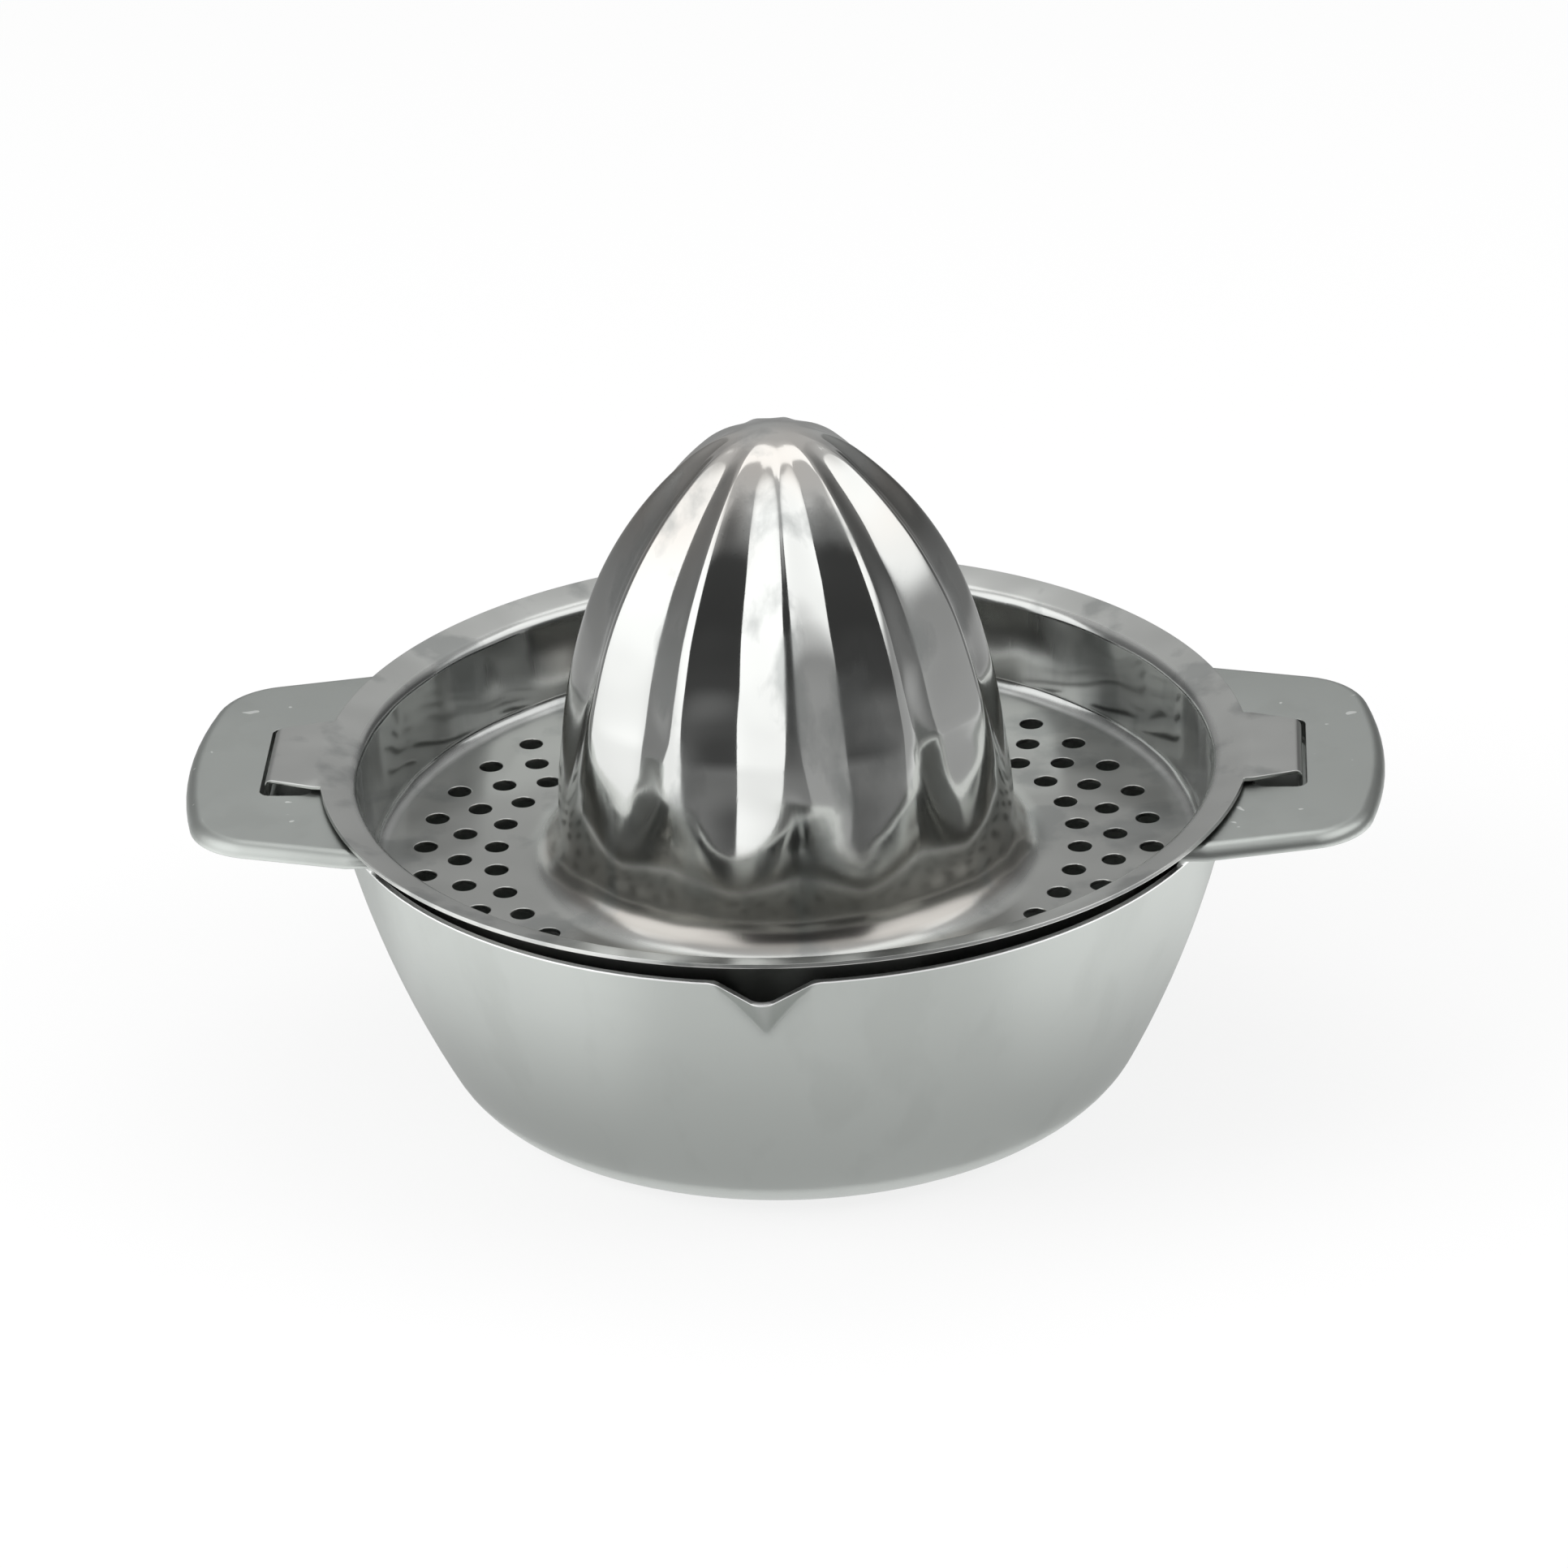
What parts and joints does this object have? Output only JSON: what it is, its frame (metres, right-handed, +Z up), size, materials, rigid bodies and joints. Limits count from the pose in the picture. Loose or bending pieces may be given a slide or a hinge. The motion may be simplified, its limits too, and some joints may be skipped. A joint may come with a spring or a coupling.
{
  "type": "citrus juicer",
  "caption": "Hand citrus juicer: fluted reamer on a perforated strainer that drops into a lipped juice bowl with two wing handles.",
  "frame": {"origin": "centre of the bowl's flat underside, on the axis of the bowl and the reamer", "axes": "+Z up along the reamer, X along the two handles, -Y towards the pouring lip"},
  "size_m": [0.17, 0.1363, 0.0984],
  "materials": {
    "satin_steel": "satin pressed stainless steel",
    "polished_steel": "polished pressed stainless steel"
  },
  "bodies": {
    "bowl": {"juice_bowl": "satin_steel"},
    "strainer": {"strainer_reamer": "polished_steel"}
  },
  "joints": [
    {"name": "strainer_lift", "type": "slide", "parent": "bowl", "child": "strainer", "axis": [0, 0, 1], "range_m": [0, 0.06]}
  ]
}
